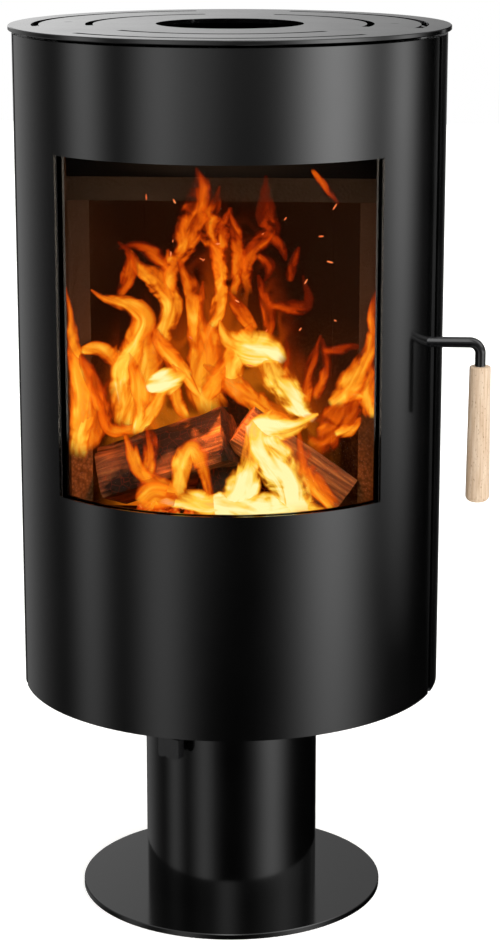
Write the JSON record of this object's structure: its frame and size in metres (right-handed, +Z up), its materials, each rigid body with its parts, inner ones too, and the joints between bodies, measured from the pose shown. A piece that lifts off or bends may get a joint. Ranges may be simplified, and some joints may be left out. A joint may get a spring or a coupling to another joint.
{
  "type": "wood stove",
  "caption": "Cylindrical steel wood stove on a round pedestal, with a full-height curved door, large curved window, side handle with wooden grip and slotted top plate.",
  "frame": {"origin": "centre of the base plate's underside, on the floor", "axes": "+Z up along the drum's axis, -Y towards the door's front, +X towards the handle"},
  "size_m": [0.5202, 0.4719, 0.977],
  "materials": {
    "black_stove_paint": "satin heat-proof black paint",
    "bare_steel": "brushed",
    "cast_iron": "raw casting",
    "fire_brick": "pressed, matte",
    "ceramic_glass": "clear",
    "rope_seal": "braided glass fibre",
    "beech": "oiled",
    "brass": "turned"
  },
  "bodies": {
    "stove": {"air_inlet_collar": "black_stove_paint", "airwash_strip": "black_stove_paint", "baffle": "fire_brick", "base_plate": "black_stove_paint", "bracket_screws": "bare_steel", "casing_screws": "bare_steel", "casing_spacers": "black_stove_paint", "collar_bolts": "bare_steel", "column_foot_ring": "black_stove_paint", "column_head_ring": "black_stove_paint", "drum_floor": "black_stove_paint", "firebox_crown": "black_stove_paint", "firebox_shell": "black_stove_paint", "flue_collar": "black_stove_paint", "foot_screws": "bare_steel", "frame_lintel": "black_stove_paint", "frame_sill": "black_stove_paint", "grate": "cast_iron", "head_bolts": "bare_steel", "hearth_brick_left": "fire_brick", "hearth_brick_right": "fire_brick", "hearth_plate": "black_stove_paint", "hinge_bracket_lower": "black_stove_paint", "hinge_bracket_upper": "black_stove_paint", "hinge_pins": "bare_steel", "hinge_post": "black_stove_paint", "hinge_washers": "brass", "keeper_block": "black_stove_paint", "keeper_pin": "bare_steel", "latch_post": "black_stove_paint", "lining_left": "fire_brick", "lining_rear": "fire_brick", "lining_right": "fire_brick", "log_guard": "cast_iron", "pan_runners": "bare_steel", "pedestal_column": "black_stove_paint", "rear_casing": "black_stove_paint", "shutter_pivot": "bare_steel", "top_gussets": "black_stove_paint", "top_plate": "black_stove_paint", "top_screws": "bare_steel", "top_standoffs": "black_stove_paint"},
    "door": {"door_shell": "black_stove_paint", "door_liner": "black_stove_paint", "door_glass": "ceramic_glass", "glass_seal": "rope_seal", "glass_clips": "black_stove_paint", "door_seal": "rope_seal", "hinge_lugs": "black_stove_paint", "handle_bush": "brass"},
    "handle": {"handle_rod": "bare_steel", "handle_grip": "beech", "latch_hook": "bare_steel", "hook_nut": "bare_steel"},
    "air_control": {"air_shutter": "bare_steel", "air_lever": "bare_steel", "lever_grip": "black_stove_paint"},
    "ash_drawer": {"ash_pan": "bare_steel"},
    "keeper_roll": {"keeper_roller": "bare_steel"}
  },
  "joints": [
    {"name": "door_hinge", "type": "hinge", "parent": "stove", "child": "door", "pos_m": [-0.21204, -0.06907, 0.6], "axis": [0, 0, -1], "range_deg": [0, 105]},
    {"name": "handle_turn", "type": "hinge", "parent": "door", "child": "handle", "pos_m": [0.21, -0.082, 0.651], "axis": [-1, 0, 0], "range_deg": [0, 60]},
    {"name": "air_lever_swing", "type": "hinge", "parent": "stove", "child": "air_control", "pos_m": [0, 0, 0.25], "axis": [0, 0, 1], "range_deg": [-20, 20]},
    {"name": "ash_pan_slide", "type": "slide", "parent": "stove", "child": "ash_drawer", "axis": [0, -1, 0], "range_m": [0, 0.03]},
    {"name": "keeper_roller_spin", "type": "hinge", "parent": "stove", "child": "keeper_roll", "pos_m": [0.2015, -0.048, 0.651], "axis": [1, 0, 0], "continuous": true}
  ]
}
